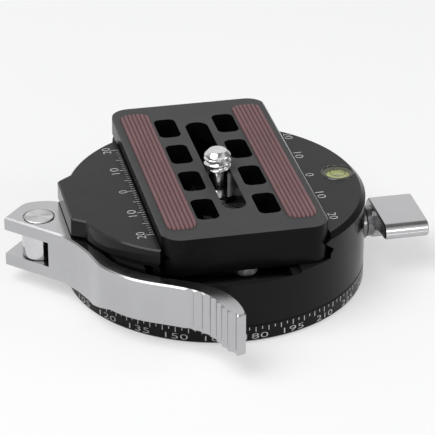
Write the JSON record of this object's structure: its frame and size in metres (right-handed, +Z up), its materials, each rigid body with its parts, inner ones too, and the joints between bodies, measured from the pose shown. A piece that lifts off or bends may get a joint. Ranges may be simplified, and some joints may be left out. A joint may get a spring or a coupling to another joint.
{
  "type": "panoramic tripod head",
  "caption": "Low panoramic tripod head: graduated base, turning disc with a lever-closed dovetail clamp, quick plate, camera screw, bubble level and a side pan lock.",
  "frame": {"origin": "pan axis at the lower face of the base, which is the mouth of the tripod thread", "axes": "+Z up along the pan axis; +X the way the movable jaw closes, towards the pan lock; +Y along the quick plate, away from the lever's tip"},
  "size_m": [0.0971, 0.0894, 0.0295],
  "materials": {
    "black_anodised": "satin black anodised",
    "satin_alloy": "satin, polished edges",
    "steel": "turned and brushed",
    "bright_steel": "bright",
    "brass": "machined",
    "bronze_polymer": "plain bearing polymer",
    "grip_rubber": "matt red-brown",
    "level_plastic": "clear green-yellow rim",
    "level_liquid": "green-yellow liquid",
    "level_bubble": "air",
    "level_glass": "clear"
  },
  "bodies": {
    "base": {"scale_base": "black_anodised", "spindle": "steel", "spindle_screws": "steel", "lower_washer": "bronze_polymer", "upper_washer": "bronze_polymer", "retainer_nut": "steel"},
    "turning_body": {"pan_body": "black_anodised", "draw_bolt": "steel", "draw_nut": "steel", "lock_bush": "bright_steel", "level_cup": "level_plastic", "level_liquid": "level_liquid", "level_bubble": "level_bubble", "level_window": "level_glass"},
    "jaw": {"movable_jaw": "black_anodised", "cam_pad": "steel", "guide_pins": "steel", "front_spring": "steel", "rear_spring": "steel"},
    "lever": {"clamp_lever": "satin_alloy", "lever_pin": "bright_steel"},
    "shoe": {"brake_shoe": "brass"},
    "lock": {"lock_shaft": "bright_steel", "lock_paddle": "satin_alloy", "paddle_set_screw": "steel"},
    "plate": {"quick_plate": "black_anodised", "left_grip": "grip_rubber", "right_grip": "grip_rubber", "stop_screw": "bright_steel"},
    "carrier": {"screw_washer": "bright_steel"},
    "screw": {"camera_screw": "bright_steel"}
  },
  "joints": [
    {"name": "pan_turn", "type": "hinge", "parent": "base", "child": "turning_body", "pos_m": [0, 0, 0], "axis": [0, 0, 1], "continuous": true},
    {"name": "lever_turn", "type": "hinge", "parent": "turning_body", "child": "lever", "pos_m": [-0.0407, 0.0035, 0.0103], "axis": [0, 0, 1], "range_deg": [-90, 0]},
    {"name": "jaw_slide", "type": "slide", "parent": "turning_body", "child": "jaw", "axis": [1, 0, 0], "range_m": [-0.0018, 0], "deforming": ["front_spring", "rear_spring"]},
    {"name": "shoe_slide", "type": "slide", "parent": "turning_body", "child": "shoe", "axis": [1, 0, 0], "range_m": [-0.00028, 0.00006]},
    {"name": "lock_turn", "type": "hinge", "parent": "shoe", "child": "lock", "pos_m": [0.04, 0.00025, 0.0083], "axis": [1, 0, 0], "range_deg": [-100, 20]},
    {"name": "plate_slide", "type": "slide", "parent": "turning_body", "child": "plate", "axis": [0, 1, 0], "range_m": [-0.0025, 0.02]},
    {"name": "screw_slide", "type": "slide", "parent": "plate", "child": "carrier", "axis": [0, 1, 0], "range_m": [-0.0172, 0.0224]},
    {"name": "screw_turn", "type": "hinge", "parent": "carrier", "child": "screw", "pos_m": [0.0012, 0.0029, 0.025], "axis": [0, 0, 1], "continuous": true}
  ],
  "couplings": [
    {"joint": "jaw_slide", "follows": "lever_turn", "m_per_rad": 0.0011454},
    {"joint": "shoe_slide", "follows": "lock_turn", "m_per_rad": 0.00015915}
  ]
}
